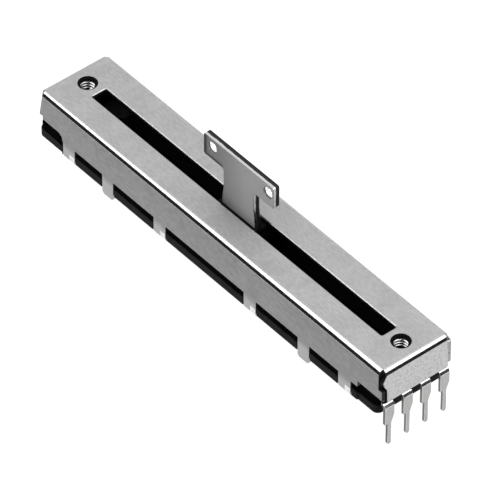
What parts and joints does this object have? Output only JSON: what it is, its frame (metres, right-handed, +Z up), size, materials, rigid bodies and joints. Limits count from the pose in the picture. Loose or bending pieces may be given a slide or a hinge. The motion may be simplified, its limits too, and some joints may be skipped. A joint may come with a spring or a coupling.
{
  "type": "slide potentiometer",
  "caption": "Metal-cased dual slide potentiometer with a T-shaped plate lever in a long slot, tapped mounting holes, crimp tabs and bent sheet terminals.",
  "frame": {"origin": "midway between the two tapped mounting holes, on the cover's top face", "axes": "+X along the body towards the end with four terminals, +Z up out of the slot along the lever, +Y across the body"},
  "size_m": [0.0619, 0.01, 0.0187],
  "materials": {
    "cover": "satin tin-plated steel sheet with bright folds and cut edges",
    "lever": "satin nickel-plated steel plate with sheared edges",
    "base": "matt black moulded plate",
    "board": "black phenolic laminate",
    "block": "black moulded insulator",
    "carbon": "printed carbon film",
    "silver_print": "printed silver conductor",
    "terminal": "tin-plated brass strip",
    "eyelet": "tin-plated brass eyelet",
    "carriage": "black moulded acetal",
    "wiper": "spring bronze strip",
    "leaf": "spring steel strip"
  },
  "bodies": {
    "housing": {"top_cover": "cover", "base_plate": "base", "resistor_board": "board", "terminal_block_right": "block", "terminal_block_left": "block", "resistive_track_front": "carbon", "collector_track_front": "silver_print", "collector_pad_front": "silver_print", "resistive_pad_right_front": "silver_print", "resistive_pad_left_front": "silver_print", "resistive_track_rear": "carbon", "collector_track_rear": "silver_print", "collector_pad_rear": "silver_print", "resistive_pad_right_rear": "silver_print", "resistive_pad_left_rear": "silver_print", "terminal_right_1": "terminal", "eyelet_right_1": "eyelet", "terminal_right_2": "terminal", "eyelet_right_2": "eyelet", "terminal_right_3": "terminal", "eyelet_right_3": "eyelet", "terminal_right_4": "terminal", "eyelet_right_4": "eyelet", "terminal_left_1": "terminal", "eyelet_left_1": "eyelet", "terminal_left_2": "terminal", "eyelet_left_2": "eyelet"},
    "slider": {"slider_carriage": "carriage", "lever": "lever", "wiper_front": "wiper", "wiper_rear": "wiper", "slider_spring": "leaf"}
  },
  "joints": [
    {"name": "lever_slide", "type": "slide", "parent": "housing", "child": "slider", "axis": [1, 0, 0], "range_m": [-0.0225, 0.0225]}
  ]
}
